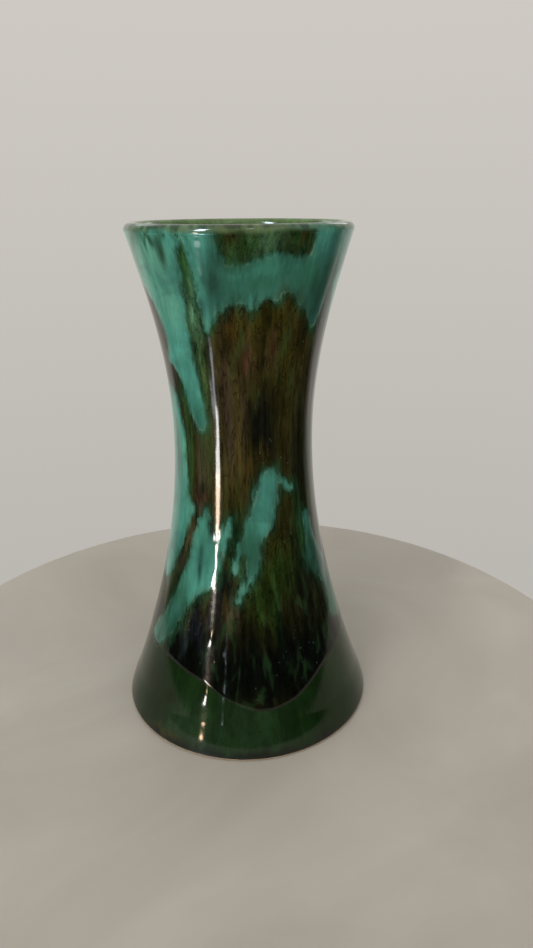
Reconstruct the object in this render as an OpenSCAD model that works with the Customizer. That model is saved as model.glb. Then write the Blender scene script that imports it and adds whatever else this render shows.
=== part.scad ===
// Hourglass bud vase: one slip-cast clay body under four kinds of fused glaze.
// Millimetres, +Z up, origin at the centre of the foot on the table, front towards -Y.
// Azimuths are in degrees from the front, and positive towards +X.

/* [Vase] */
// Height from the table to the crest of the lip
height = 200; // [170:1:230]
// Diameter at the foot, over the base glaze
foot_d = 107.4; // [98:0.2:114]
// Diameter at the waist, over the base glaze
waist_d = 55; // [50:0.5:62]
// Height of the waist above the table
waist_h = 121; // [108:1:130]
// Diameter over the lip
rim_d = 83.6; // [76:0.2:92]
// Flare of the lower wall: low is an even curve, high is a straight cone with a tight waist
foot_flare = 0.9; // [0.3:0.1:1.6]
// Flare of the upper wall, in the same way
rim_flare = 0.8; // [0.3:0.1:1.6]

/* [Clay] */
// Thickness of the clay wall
wall = 4.2; // [3.6:0.1:5]
// Height of the clay floor's upper side above the table
floor_h = 6.6; // [5.5:0.1:8]
// Radius of the curve from the floor into the wall
floor_fillet = 7; // [4:0.5:10]
// Depth of the hollow under the foot
recess = 1.8; // [1:0.1:2.5]
// Width of the bare ring that the vase stands on
foot_ring = 8; // [6:0.5:12]
// Radius of the foot's outer edge
foot_edge = 0.8; // [0.4:0.1:1]

/* [Glaze] */
// Thickness of the base glaze, and of the lining
base_t = 0.4; // [0.3:0.05:0.6]
// Thickness of the poured glaze
pour_t = 0.5; // [0.3:0.05:0.7]
// Thickness of the turquoise glaze
turquoise_t = 0.3; // [0.2:0.05:0.5]
// Bare clay between the table and the base glaze
foot_gap = 1.4; // [1.2:0.1:2]
// Mean height of the poured glaze's scalloped hem
hem_h = 28; // [26:0.5:32]

/* [Hidden] */
// Each patch of turquoise glaze: its node, the azimuth of its middle, and its outline as [azimuth, height].
// A curtain hangs from the lip, and a splash lies on the wall by itself.
CURTAINS = [
    ["left_curtain", -54, [[-81, 196], [-80, 185], [-67, 178], [-60, 170], [-56, 162], [-61, 153],
        [-52, 150], [-46, 143], [-41, 133], [-35, 127], [-29, 131], [-30, 146], [-33, 160],
        [-31, 176], [-30, 196]]],
    ["front_curtain", 12, [[-26, 196], [-24, 184], [-19, 169], [-10, 173], [-3, 176], [5, 172],
        [14, 176], [22, 171], [31, 175], [40, 170], [50, 165], [53, 178], [52, 196], [37, 196],
        [35, 190], [14, 191], [-8, 189], [-12, 196]]],
    ["right_curtain", 90, [[60, 196], [62, 178], [70, 168], [78, 150], [83, 126], [88, 121],
        [92, 133], [95, 154], [103, 167], [113, 172], [118, 184], [117, 196]]],
    ["back_curtain", 178, [[127, 196], [130, 182], [138, 170], [149, 173], [157, 158], [163, 136],
        [169, 131], [173, 147], [179, 166], [191, 173], [203, 168], [212, 176], [222, 180], [226, 196]]]
];
SPLASHES = [
    ["left_run", -70, [[-90, 139], [-72, 143], [-61, 141], [-56, 133], [-52, 121], [-50, 104],
        [-43, 96], [-49, 86], [-57, 76], [-66, 64], [-80, 60], [-92, 74], [-98, 100], [-96, 126]]],
    ["left_fork", -44, [[-38, 91], [-29, 94], [-22, 85], [-13, 93], [-11, 90], [-18, 79], [-22, 68],
        [-33, 64], [-41, 57], [-46, 48], [-56, 39], [-72, 36], [-70, 43], [-58, 54], [-50, 66],
        [-43, 79]]],
    ["centre_splash", 14, [[-8, 75], [-4, 82], [1, 92], [8, 105], [14, 112], [24, 113], [30, 109],
        [39, 105], [34, 104], [28, 107], [24, 97], [14, 86], [8, 78], [6, 72], [-2, 68]]],
    ["right_run", 64, [[50, 91], [57, 92], [63, 82], [72, 71], [81, 60], [84, 44], [76, 39],
        [67, 43], [61, 53], [54, 63], [47, 75]]],
    ["right_back_run", 118, [[106, 118], [113, 124], [121, 116], [124, 99], [131, 82], [133, 64],
        [128, 55], [119, 63], [113, 78], [106, 94]]],
    ["back_splash", 166, [[150, 96], [161, 104], [171, 112], [180, 108], [184, 97], [178, 86],
        [170, 76], [162, 61], [152, 52], [144, 57], [146, 76]]],
    ["back_fork", 222, [[204, 118], [212, 131], [220, 134], [227, 124], [229, 106], [236, 90],
        [240, 70], [234, 58], [226, 66], [220, 82], [210, 92]]]
];
PATCHES = concat(CURTAINS, SPLASHES);

wall_steps = 36;             // straight steps in a wall's profile
arc_steps = 6;               // straight steps in each quarter round
hem_steps = 72;              // straight steps around the hem
hem_cut_r = 100;             // how far the hem's cutter reaches from the axis
patch_cut_r = 70;            // how far a patch's cutter reaches from the axis
hem_low = 12;                // the poured glaze is turned down to here, and then cut along its hem
lip_r = wall / 2 + base_t;   // radius of the lip's round
lip_h = height - lip_r;      // height of the lip's centre
pour_top = height - 4;       // the poured glaze and the curtains end here, on the outside of the lip
pour_fade = 12;              // height over which the poured glaze thins out below that
pour_feather = 0.12;         // its thickness at the top
$fn = 96;

// 0 at the waist (t = 0) and 1 at the end of the wall (t = 1), along a hyperbola
function flare(t, k) = (sqrt(1 + (k * t) ^ 2) - 1) / (sqrt(1 + k ^ 2) - 1);

// Radius over the base glaze at height z
function base_r(z) = z < waist_h
    ? waist_d / 2 + (foot_d - waist_d) / 2 * flare((waist_h - z) / waist_h, foot_flare)
    : waist_d / 2 + (rim_d - waist_d) / 2 * flare((z - waist_h) / (lip_h - waist_h), rim_flare);

function clay_r(z) = base_r(z) - base_t;
function bore_r(z) = clay_r(z) - wall;
function pour_r(z) = base_r(z) + max(pour_feather, pour_t * min(1, (pour_top - z) / pour_fade));
function turquoise_r(z) = pour_r(z) + turquoise_t;

// Height of the poured glaze's hem at an azimuth: a long swag at the front and smaller ones around
function hem(a) = hem_h - 5 * cos(2 * (a - 10)) - 2.5 * cos(3 * (a - 8)) + 1.5 * cos(5 * (a + 24));

function steps(from, to, n) = [for (i = [0 : n]) from + (to - from) * i / n];
function arc(centre, r, from, to) =
    [for (a = steps(from, to, arc_steps)) centre + r * [cos(a), sin(a)]];
function reversed(points) = [for (i = [len(points) - 1 : -1 : 0]) points[i]];

foot_lean = atan((base_r(5) - base_r(25)) / 20);   // the lower wall's lean from upright, in degrees
edge_centre = [clay_r(foot_edge) - foot_edge * cos(foot_lean), foot_edge];
lip_centre = [clay_r(lip_h) - wall / 2, lip_h];
fillet_h = floor_h + floor_fillet;
fillet_top = fillet_h + floor_fillet * sin(foot_lean);
fillet_centre = [bore_r(fillet_top) - floor_fillet * cos(foot_lean), fillet_h];

// The wall's outside, from the base glaze's lower edge to the lip, as radius(z) at shared heights
function outside(radius) = [for (z = steps(foot_gap, lip_h, wall_steps)) [radius(z), z]];

// The hollow's outline, from the lip's crest down to the middle of the floor, inset from the clay
function hollow(inset) = concat(
    arc(lip_centre, wall / 2 + inset, 90, 180),
    [for (z = steps(lip_h - 2, fillet_top, wall_steps)) [bore_r(z) - inset, z]],
    arc(fillet_centre, floor_fillet - inset, foot_lean, -90),
    [[0, floor_h + inset]]);

// A turned coat of glaze between two heights, from radius under(z) to radius over(z)
module coat(low, high, under, over) {
    heights = steps(low, high, ceil((high - low) / (lip_h - foot_gap) * wall_steps));
    rotate_extrude()
        polygon(concat([for (z = heights) [over(z), z]], reversed([for (z = heights) [under(z), z]])));
}

module clay_body() {
    ring_r = clay_r(0) - foot_ring;
    color("tan") rotate_extrude()
        polygon(concat(
            [[0, recess], [ring_r - 2 * recess, recess], [ring_r, 0]],
            arc(edge_centre, foot_edge, -90, foot_lean),
            outside(function(z) clay_r(z)),
            arc(lip_centre, wall / 2, 0, 90),
            hollow(0)));
}

module lining_glaze() {
    color("darkolivegreen") rotate_extrude()
        polygon(concat(hollow(base_t), reversed(hollow(0))));
}

module base_glaze() {
    color("darkgreen") rotate_extrude()
        polygon(concat(
            outside(function(z) base_r(z)),
            arc(lip_centre, lip_r, 0, 90),
            arc(lip_centre, wall / 2, 90, 0),
            reversed(outside(function(z) clay_r(z)))));
}

// Everything under the hem, as a fan of triangles about the axis
module below_hem() {
    around = [for (i = [0 : hem_steps - 1]) 360 * i / hem_steps];
    // A triangle runs straight from the axis, so its end lies where it meets the wall at the hem
    function cut_h(a) = hem_h + (hem(a) - hem_h) * hem_cut_r / base_r(hem(a));
    rims = [for (h = [0, 1], a = around)
        [hem_cut_r * sin(a), -hem_cut_r * cos(a), h == 0 ? -hem_cut_r : cut_h(a)]];
    floor_point = 2 * hem_steps;
    hem_point = floor_point + 1;
    polyhedron(
        points = concat(rims, [[0, 0, -hem_cut_r], [0, 0, hem_h]]),
        faces = [for (i = [0 : hem_steps - 1]) let (j = (i + 1) % hem_steps) each [
            [j, floor_point, i],
            [hem_steps + i, hem_point, hem_steps + j],
            [hem_steps + i, hem_steps + j, j, i]]]);
}

module poured_glaze() {
    color("black") difference() {
        coat(hem_low, pour_top, function(z) base_r(z), function(z) pour_r(z));
        below_hem();
    }
}

// A patch of turquoise glaze: the part of its coat behind the outline, seen from its middle azimuth
module turquoise_glaze(middle, outline) {
    heights = [for (p = outline) p[1]];
    color("mediumaquamarine") intersection() {
        coat(min(heights) - 1, min(pour_top, max(heights) + 1),
             function(z) pour_r(z), function(z) turquoise_r(z));
        rotate([0, 0, middle]) rotate([90, 0, 0]) linear_extrude(patch_cut_r)
            polygon([for (p = outline) [pour_r(p[1]) * sin(p[0] - middle), p[1]]]);
    }
}

clay_body();
lining_glaze();
base_glaze();
poured_glaze();
for (patch = PATCHES) turquoise_glaze(patch[1], patch[2]);
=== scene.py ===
import math
import bpy
import numpy as np
from mathutils import Matrix, Vector


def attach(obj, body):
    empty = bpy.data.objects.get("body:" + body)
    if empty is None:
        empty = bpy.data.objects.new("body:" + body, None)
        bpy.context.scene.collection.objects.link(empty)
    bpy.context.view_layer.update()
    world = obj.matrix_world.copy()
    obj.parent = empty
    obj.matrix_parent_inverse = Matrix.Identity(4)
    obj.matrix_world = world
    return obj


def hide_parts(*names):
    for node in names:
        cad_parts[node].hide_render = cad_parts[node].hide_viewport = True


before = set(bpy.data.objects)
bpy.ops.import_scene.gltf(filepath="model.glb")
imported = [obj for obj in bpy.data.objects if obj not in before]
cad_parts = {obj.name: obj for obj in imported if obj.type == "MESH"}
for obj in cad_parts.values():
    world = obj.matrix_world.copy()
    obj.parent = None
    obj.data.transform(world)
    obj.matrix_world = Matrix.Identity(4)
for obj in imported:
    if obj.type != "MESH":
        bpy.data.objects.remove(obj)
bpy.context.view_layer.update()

scene = bpy.context.scene
scene.view_settings.view_transform = "Standard"
mm = 0.001

# The wall's rule, in millimetres: a hyperbola above the waist and another below it
vaseShape = {
    "height": 200, "footDiameter": 107.4, "waistDiameter": 55, "waistHeight": 121, "rimDiameter": 83.6,
    "footFlare": 0.9, "rimFlare": 0.8, "wall": 4.2, "glaze": 0.4,
    "floor": 6.6, "floorRound": 7,
    "wobble": 0.03, "wobbleSize": 24,   # how far the turned skin wanders, and over what length
}
wall, glaze = vaseShape["wall"], vaseShape["glaze"]
lipRound = wall / 2 + glaze
lipHeight = vaseShape["height"] - lipRound
pourTop = vaseShape["height"] - 4


def flare(t, k):
    return (np.sqrt(1 + (k * t) ** 2) - 1) / (math.sqrt(1 + k * k) - 1)


def skinRadius(z):   # over the base glaze
    v, z = vaseShape, np.asarray(z, float)
    waist, foot, rim = v["waistDiameter"] / 2, v["footDiameter"] / 2, v["rimDiameter"] / 2
    low = waist + (foot - waist) * flare((v["waistHeight"] - z) / v["waistHeight"], v["footFlare"])
    high = waist + (rim - waist) * flare((z - v["waistHeight"]) / (lipHeight - v["waistHeight"]),
                                         v["rimFlare"])
    return np.where(z < v["waistHeight"], low, high)


def softNoise(azimuth, height, cellAround, cellUp, seed):   # -1 to 1, and the same after a full turn
    columns = max(3, round(360 / cellAround))
    table = np.random.RandomState(seed).uniform(-1, 1, (columns, int(260 / cellUp) + 4))
    u, v = (azimuth % 360) / 360 * columns, (height + 30) / cellUp
    i, j = np.floor(u).astype(int), np.floor(v).astype(int)
    fu, fv = u - i, v - j
    fu, fv = fu * fu * (3 - 2 * fu), fv * fv * (3 - 2 * fv)
    i, k, j = i % columns, (i + 1) % columns, np.clip(j, 0, table.shape[1] - 2)
    low = table[i, j] * (1 - fu) + table[k, j] * fu
    high = table[i, j + 1] * (1 - fu) + table[k, j + 1] * fu
    return low * (1 - fv) + high * fv


def smoothStep(low, high, x):
    t = np.clip((x - low) / (high - low), 0, 1)
    return t * t * (3 - 2 * t)


def newTree(name, kind, inputs, outputs):
    tree = bpy.data.node_groups.new(name, kind)
    for label, socket, value in inputs:
        made = tree.interface.new_socket(name=label, in_out="INPUT", socket_type="NodeSocket" + socket)
        if value is not None:
            made.default_value = value
    for label, socket in outputs:
        tree.interface.new_socket(name=label, in_out="OUTPUT", socket_type="NodeSocket" + socket)
    return tree, tree.nodes.new("NodeGroupInput").outputs, tree.nodes.new("NodeGroupOutput").inputs


def put(tree, kind, inputs=None, **settings):   # a node with its settings, and its inputs linked or set
    node = tree.nodes.new(kind)
    for key, value in settings.items():
        setattr(node, key, value)
    for key, value in (inputs or {}).items():
        if isinstance(value, bpy.types.NodeSocket):
            tree.links.new(value, node.inputs[key])
        else:
            node.inputs[key].default_value = value
    return node


def calc(tree, operation, *values, clamp=False):
    return put(tree, "ShaderNodeMath", dict(enumerate(values)), operation=operation,
               use_clamp=clamp).outputs[0]


def mixColour(tree, factor, under, over, blend="MIX"):
    return put(tree, "ShaderNodeMix", {"Factor": factor, 6: under, 7: over},
               data_type="RGBA", blend_type=blend).outputs[2]


def dimmed(tree, tone, light):   # a colour times a grey light
    grey = put(tree, "ShaderNodeCombineXYZ", {0: light, 1: light, 2: light}).outputs[0]
    return mixColour(tree, 1.0, tone, grey, "MULTIPLY")


def span(tree, value, *limits, smooth=False):   # from low, from high, to low, to high
    kind = "SMOOTHSTEP" if smooth else "LINEAR"
    given = dict(enumerate((value,) + limits))
    return put(tree, "ShaderNodeMapRange", given, interpolation_type=kind).outputs[0]


def wallField(tree, name, output="Color"):
    return put(tree, "ShaderNodeAttribute", attribute_name=name).outputs[output]


def turnedTree():   # rolls an unrolled sheet (azimuth, height, offset) onto the wall's rule
    tree, given, result = newTree("turnedOnWall", "GeometryNodeTree", [
        ("Geometry", "Geometry", None), ("Waist Height", "Float", 0.121), ("Waist Radius", "Float", 0.0275),
        ("Foot Radius", "Float", 0.0537), ("Foot Flare", "Float", 0.9), ("Lip Height", "Float", 0.1975),
        ("Rim Radius", "Float", 0.0418), ("Rim Flare", "Float", 0.8), ("Wobble", "Float", 0.0001),
        ("Wobble Size", "Float", 0.02), ("Seed", "Float", 7.0), ("Glaze", "Material", None)],
        [("Geometry", "Geometry")])
    sheet = put(tree, "ShaderNodeSeparateXYZ", {0: put(tree, "GeometryNodeInputPosition").outputs[0]}).outputs
    below = calc(tree, "LESS_THAN", sheet[1], given["Waist Height"])

    def oneFlare(t, k):
        bent = calc(tree, "SQRT", calc(tree, "MULTIPLY_ADD", calc(tree, "MULTIPLY", k, t),
                                       calc(tree, "MULTIPLY", k, t), 1.0))
        full = calc(tree, "SQRT", calc(tree, "MULTIPLY_ADD", k, k, 1.0))
        return calc(tree, "DIVIDE", calc(tree, "SUBTRACT", bent, 1.0), calc(tree, "SUBTRACT", full, 1.0))
    rise = calc(tree, "SUBTRACT", sheet[1], given["Waist Height"])
    down = oneFlare(calc(tree, "DIVIDE", rise, given["Waist Height"]), given["Foot Flare"])
    up = oneFlare(calc(tree, "DIVIDE", rise,
                       calc(tree, "SUBTRACT", given["Lip Height"], given["Waist Height"])),
                  given["Rim Flare"])
    low = calc(tree, "MULTIPLY", down, calc(tree, "SUBTRACT", given["Foot Radius"], given["Waist Radius"]))
    high = calc(tree, "MULTIPLY", up, calc(tree, "SUBTRACT", given["Rim Radius"], given["Waist Radius"]))
    grown = put(tree, "ShaderNodeMix", {0: below, 2: high, 3: low}).outputs[0]
    skin = calc(tree, "ADD", given["Waist Radius"], grown)
    side, front = calc(tree, "SINE", sheet[0]), calc(tree, "MULTIPLY", calc(tree, "COSINE", sheet[0]), -1.0)
    place = put(tree, "ShaderNodeCombineXYZ", {0: calc(tree, "MULTIPLY", side, skin),
                                               1: calc(tree, "MULTIPLY", front, skin),
                                               2: sheet[1]}).outputs[0]
    hand = put(tree, "ShaderNodeTexNoise", {"Vector": place, "W": given["Seed"], "Detail": 1.0,
                                            "Scale": calc(tree, "DIVIDE", 1.0, given["Wobble Size"])},
                                            noise_dimensions="4D").outputs[0]
    shift = calc(tree, "MULTIPLY", calc(tree, "SUBTRACT", hand, 0.5),
                 calc(tree, "MULTIPLY", given["Wobble"], 4.0))
    radius = calc(tree, "MULTIPLY", calc(tree, "ADD", skin, sheet[2]),
                  calc(tree, "ADD", 1.0, calc(tree, "DIVIDE", shift, skin)))
    rolled = put(tree, "ShaderNodeCombineXYZ", {0: calc(tree, "MULTIPLY", side, radius),
                                                1: calc(tree, "MULTIPLY", front, radius),
                                                2: sheet[1]}).outputs[0]
    step = put(tree, "GeometryNodeSetPosition",
               {"Geometry": given["Geometry"], "Position": rolled}).outputs[0]
    step = put(tree, "GeometryNodeMergeByDistance", {"Geometry": step, "Distance": 1e-6}).outputs[0]
    step = put(tree, "GeometryNodeSetShadeSmooth", {"Geometry": step, "Shade Smooth": True}).outputs[0]
    step = put(tree, "GeometryNodeRealizeInstances", {"Geometry": step}).outputs[0]
    step = put(tree, "GeometryNodeSetMaterial", {"Geometry": step, "Material": given["Glaze"]}).outputs[0]
    tree.links.new(step, result[0])
    return tree


turned = turnedTree()


def rollOnWall(name, points, faces, fields, material):   # points in degrees and millimetres
    mesh = bpy.data.meshes.new(name)
    sheet = np.stack([np.radians(points[:, 0]), points[:, 1] * mm, points[:, 2] * mm], 1)
    mesh.from_pydata(sheet.tolist(), [], faces.tolist())
    for field, values in fields.items():
        if values.ndim == 2:
            colours = np.concatenate([values, np.ones((len(values), 1))], 1)
            mesh.attributes.new(field, "FLOAT_COLOR", "POINT").data.foreach_set("color", colours.ravel())
        else:
            mesh.attributes.new(field, "FLOAT", "POINT").data.foreach_set("value", values.ravel())
    flat = bpy.data.objects.new(name + "Sheet", mesh)
    scene.collection.objects.link(flat)
    v = vaseShape
    values = {"Waist Height": v["waistHeight"] * mm, "Waist Radius": v["waistDiameter"] / 2 * mm,
              "Foot Radius": v["footDiameter"] / 2 * mm, "Foot Flare": v["footFlare"],
              "Lip Height": lipHeight * mm,
              "Rim Radius": v["rimDiameter"] / 2 * mm, "Rim Flare": v["rimFlare"], "Wobble": v["wobble"] * mm,
              "Wobble Size": v["wobbleSize"] * mm, "Seed": 7.0, "Glaze": material}
    modifier = flat.modifiers.new("turned", "NODES")
    modifier.node_group = turned
    for item in turned.interface.items_tree:
        if item.in_out == "INPUT" and item.name in values:
            modifier[item.identifier] = values[item.name]
    shaped = bpy.data.meshes.new_from_object(flat.evaluated_get(bpy.context.evaluated_depsgraph_get()))
    shaped.name = name
    bpy.data.objects.remove(flat)
    bpy.data.meshes.remove(mesh)
    piece = bpy.data.objects.new(name, shaped)
    scene.collection.objects.link(piece)
    return piece


# a fired colour as the eye gives it, to what the shader needs
def glazeTone(red, green, blue, light=0.92):
    c = np.array([red, green, blue]) / 255
    return np.where(c <= 0.04045, c / 12.92, ((c + 0.055) / 1.055) ** 2.4) / light


tones = {
    "black": glazeTone(11, 14, 10), "umber": glazeTone(42, 38, 14), "brown": glazeTone(61, 53, 28),
    "rust": glazeTone(62, 47, 16), "leaf": glazeTone(40, 82, 36), "rimGreen": glazeTone(36, 60, 30),
    "olive": glazeTone(48, 46, 12), "moss": glazeTone(24, 42, 10), "deepGreen": glazeTone(14, 40, 16),
    "hazeGreen": glazeTone(76, 102, 60), "aubergine": glazeTone(58, 48, 42),
    "plum": glazeTone(84, 48, 46), "ink": glazeTone(22, 27, 36), "teal": glazeTone(36, 84, 68),
    "turquoise": glazeTone(69, 133, 119), "paleTurquoise": glazeTone(100, 146, 124),
    "shadeTurquoise": glazeTone(42, 88, 70), "darkTurquoise": glazeTone(32, 62, 50),
    "bottle": glazeTone(20, 40, 15), "bottleLight": glazeTone(34, 54, 34), "halo": glazeTone(24, 54, 35),
    "pitch": glazeTone(4, 7, 4), "bottleShade": glazeTone(8, 28, 5), "lipGreen": glazeTone(80, 97, 66),
    "lipPaleGlint": glazeTone(112, 124, 96), "seaGreen": glazeTone(74, 114, 86),
    "crest": glazeTone(34, 46, 30), "insideGreen": glazeTone(84, 112, 68),
    "insideDepthShade": glazeTone(28, 45, 22),
}


def paint(azimuth, height, ground, strokes, drag=1.0):   # soft strokes, dragged downwards as a glaze runs
    a = azimuth + drag * (2.2 * softNoise(azimuth, height, 3.0, 26, 11)
                          + 0.9 * softNoise(azimuth, height, 1.2, 14, 12))
    z = height + drag * (6 * softNoise(azimuth, height, 2.4, 40, 13)
                         + 2.5 * softNoise(azimuth, height, 1.1, 12, 14))
    colour = np.tile(tones[ground], (len(azimuth), 1))
    for where, level, wide, tall, tone, strength in strokes:
        across = ((a - where + 180) % 360 - 180) / wide
        cover = strength * np.exp(-(across ** 2 + ((z - level) / tall) ** 2) ** 1.3)
        colour += (tones[tone] - colour) * cover[:, None]
    return colour


# [azimuth, height, half width in degrees, half height, tone, strength], laid one over another
groundStrokes = [
    (-8, 143, 11, 22, "brown", 0.9), (-4, 122, 9, 14, "brown", 0.7), (14, 158, 26, 14, "umber", 0.85),
    (28, 148, 10, 16, "olive", 0.6), (-6, 169, 7, 5, "rust", 0.6), (14, 168, 14, 8, "olive", 0.8),
    (15, 126, 12, 12, "black", 0.98), (9, 134, 9, 7, "black", 0.7), (22, 140, 11, 10, "black", 0.5),
    (50, 112, 13, 42, "black", 0.75), (44, 150, 7, 20, "umber", 0.5),
    (-27, 157, 4.5, 20, "hazeGreen", 0.9), (-27, 174, 5, 11, "seaGreen", 0.95),
    (-26.5, 190, 5, 7, "leaf", 0.95), (-20, 152, 3, 20, "black", 0.6),
    (-36, 113, 10, 17, "aubergine", 0.45), (-34, 103, 7, 5, "black", 0.6),
    (-24, 116, 4, 16, "umber", 0.6), (-46, 118, 4.5, 22, "moss", 0.85), (-46, 141, 6, 7, "moss", 0.6),
    (4, 114, 6, 3, "rust", 0.6), (9, 118, 8, 4, "umber", 0.6), (-8, 102, 8, 10, "umber", 0.7),
    (-7, 88, 6, 10, "deepGreen", 0.85), (30, 101, 9, 8, "olive", 0.5), (20, 84, 12, 13, "olive", 0.6),
    (25, 68, 18, 14, "moss", 0.85), (45, 85, 9, 18, "deepGreen", 0.8), (8, 60, 12, 12, "moss", 0.85),
    (-16, 70, 8, 7, "black", 0.98), (-12, 57, 6, 6, "brown", 0.75), (42, 60, 12, 18, "black", 0.85),
    (-37, 99, 5, 4, "plum", 0.6), (-44, 84, 7, 5, "plum", 0.7), (-55, 72, 8, 5, "aubergine", 0.7),
    (-58, 58, 9, 8, "moss", 0.7), (-38, 50, 12, 8, "aubergine", 0.55), (-28, 46, 8, 12, "ink", 0.6),
    (20, 46, 3, 15, "deepGreen", 0.8), (4, 48, 5, 10, "umber", 0.4), (66, 150, 9, 24, "umber", 0.7),
    (62, 110, 8, 20, "moss", 0.5), (62, 66, 9, 16, "deepGreen", 0.7),
    (56, 184, 6, 20, "darkTurquoise", 0.95), (-15, 71, 6, 5, "black", 0.98),
    (-19, 58, 2.5, 12, "ink", 0.7), (-8, 56, 2.5, 9, "aubergine", 0.6), (18, 158, 5, 6, "plum", 0.2),
    (4, 156, 4, 7, "plum", 0.35), (-11, 136, 3, 22, "aubergine", 0.6), (0, 140, 3, 10, "aubergine", 0.4),
    (-80, 160, 9, 14, "aubergine", 0.7), (-66, 164, 8, 10, "aubergine", 0.6),
    (-88, 60, 12, 12, "moss", 0.6),
]
dice = np.random.RandomState(41)
groundStrokes += [   # the far side carries the same kinds of run, scattered
    (float(dice.uniform(80, 270)), float(dice.uniform(52, 182)), float(dice.uniform(4, 12)),
     float(dice.uniform(9, 26)),
     str(dice.choice(["brown", "olive", "moss", "black", "aubergine", "deepGreen", "rust", "umber",
                      "hazeGreen"])),
     float(dice.uniform(0.5, 0.9))) for _ in range(64)]
# pooled glaze above the hem
groundStrokes += [(where, 32, 14, 19, "pitch", 0.93) for where in range(0, 360, 10)]
groundStrokes += [(-36, 45, 9, 6, "ink", 0.55), (2, 193, 12, 5, "rimGreen", 0.95),
                  (14, 194, 8, 5, "seaGreen", 0.5), (28, 194, 11, 5, "rimGreen", 0.95),
                  (4, 192, 5, 2, "moss", 0.7), (30, 194, 4, 2, "moss", 0.6)]
turquoiseStrokes = [
    (-56, 192, 16, 8, "paleTurquoise", 0.45), (-70, 182, 10, 18, "paleTurquoise", 0.5),
    (-36, 132, 7, 9, "teal", 0.8), (8, 184, 30, 9, "shadeTurquoise", 0.95),
    (-13, 181, 7, 11, "darkTurquoise", 0.95), (38, 182, 15, 12, "shadeTurquoise", 0.9),
    (-22, 186, 3, 10, "turquoise", 0.9), (46, 174, 9, 12, "darkTurquoise", 0.85),
    (4, 186, 16, 2.5, "turquoise", 0.35), (53, 184, 7, 20, "darkTurquoise", 0.8),
    (22, 176, 6, 4, "olive", 0.6), (33, 174, 6, 5, "olive", 0.5), (0, 177, 14, 3, "darkTurquoise", 0.4),
    (-61, 197, 4, 2.2, "hazeGreen", 0.8), (-53, 196.5, 4, 3, "leaf", 0.75),
    (-40, 193, 2.4, 6, "moss", 0.9), (-46, 197, 5, 2, "moss", 0.8), (-34, 198, 5, 2, "moss", 0.8),
    (3, 84, 9, 15, "shadeTurquoise", 0.95), (23, 110, 9, 4, "turquoise", 0.7),
    (17, 100, 8, 8, "teal", 0.35), (-66, 115, 3, 12, "aubergine", 0.75),
    (-45, 178, 9, 12, "paleTurquoise", 0.35), (-33, 80, 12, 16, "shadeTurquoise", 0.45),
    (4, 79, 8, 11, "darkTurquoise", 0.5), (-57, 112, 8, 22, "shadeTurquoise", 0.2),
    (62, 60, 13, 22, "darkTurquoise", 0.95), (60, 62, 11, 16, "bottle", 0.5),
    (53, 76, 7, 9, "deepGreen", 0.45), (66, 52, 12, 14, "deepGreen", 0.85), (56, 70, 5, 6, "moss", 0.6),
    (-50, 50, 12, 12, "deepGreen", 0.6), (-50, 50, 12, 12, "darkTurquoise", 0.6),
    (-54, 112, 5, 14, "paleTurquoise", 0.3), (-30, 80, 9, 8, "teal", 0.4),
    (-52, 56, 12, 14, "shadeTurquoise", 0.85), (-62, 40, 10, 6, "darkTurquoise", 0.7),
    (-33, 73, 1.8, 9, "black", 0.85), (54, 74, 9, 13, "darkTurquoise", 0.9),
    (72, 50, 9, 14, "shadeTurquoise", 0.85), (-1, 75, 2.4, 6, "black", 0.9),
    (-90, 100, 9, 20, "teal", 0.5), (-64, 76, 9, 12, "teal", 0.5),
]
turquoiseStrokes += [
    (float(dice.uniform(80, 270)), float(dice.uniform(50, 190)), float(dice.uniform(4, 10)),
     float(dice.uniform(6, 18)),
     str(dice.choice(["teal", "shadeTurquoise", "paleTurquoise", "darkTurquoise"])),
     float(dice.uniform(0.4, 0.8)))
    for _ in range(36)]
lipStrokes = [
    # the pale patch on the front lip is partly the lip's own pale glaze and partly a painted highlight round
    # its glint
    (-52, 198, 20, 3, "turquoise", 0.5), (-20, 198, 6, 3, "lipPaleGlint", 0.8),
    (12, 198, 22, 2.5, "lipGreen", 0.7), (0, 197.5, 1e4, 2.2, "lipGreen", 0.8),
    (0, 200.6, 1e4, 1.4, "crest", 0.9), (40, 198, 16, 3, "turquoise", 0.35),
    (-30, 10, 16, 9, "bottleLight", 0.7), (-58, 18, 12, 10, "bottleLight", 0.25),
    # the near-black green strokes on the foot's two sides are painted shade
    (38, 14, 20, 16, "bottleShade", 0.7), (-54, 20, 16, 17, "bottleShade", 0.97),
    (8, 5, 16, 4, "bottleLight", 0.3), (-40, 3.5, 10, 1.8, "rust", 0.5),
    (62, 22, 10, 9, "bottleLight", 0.2), (0, 14, 16, 10, "bottleLight", 0.4),
    (0, 1.2, 1e4, 2.2, "black", 0.85), (150, 12, 30, 9, "bottleLight", 0.5),
    (230, 16, 24, 10, "bottleLight",
        0.4),
]


def runsGroup():   # streaks that run down the wall, fine and broad
    tree, given, result = newTree("glazeRuns", "ShaderNodeTree", [
        ("Vector", "Vector", None), ("Fine", "Float", 900.0), ("Broad", "Float", 230.0)],
        [("Fine Runs", "Float"), ("Broad Runs", "Float"), ("Mottle", "Float")])
    down = put(tree, "ShaderNodeMapping", {"Vector": given["Vector"], "Scale": (1, 1, 0.085)}).outputs[0]
    fine = put(tree, "ShaderNodeTexNoise", {"Vector": down, "Scale": given["Fine"], "Detail": 3.0,
                                            "Roughness": 0.6, "Distortion": 0.25})
    broad = put(tree, "ShaderNodeTexNoise", {"Vector": down, "Scale": given["Broad"], "Detail": 2.0,
                                             "Distortion": 0.4})
    slow = put(tree, "ShaderNodeMapping", {"Vector": given["Vector"], "Scale": (1, 1, 0.4)}).outputs[0]
    mottle = put(tree, "ShaderNodeTexNoise", {"Vector": slow, "Scale": 260.0, "Detail": 5.0,
                                              "Roughness": 0.65})
    for socket, noise in zip(result, (fine, broad, mottle)):
        tree.links.new(span(tree, noise.outputs[0], 0.3, 0.7), socket)
    return tree


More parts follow.
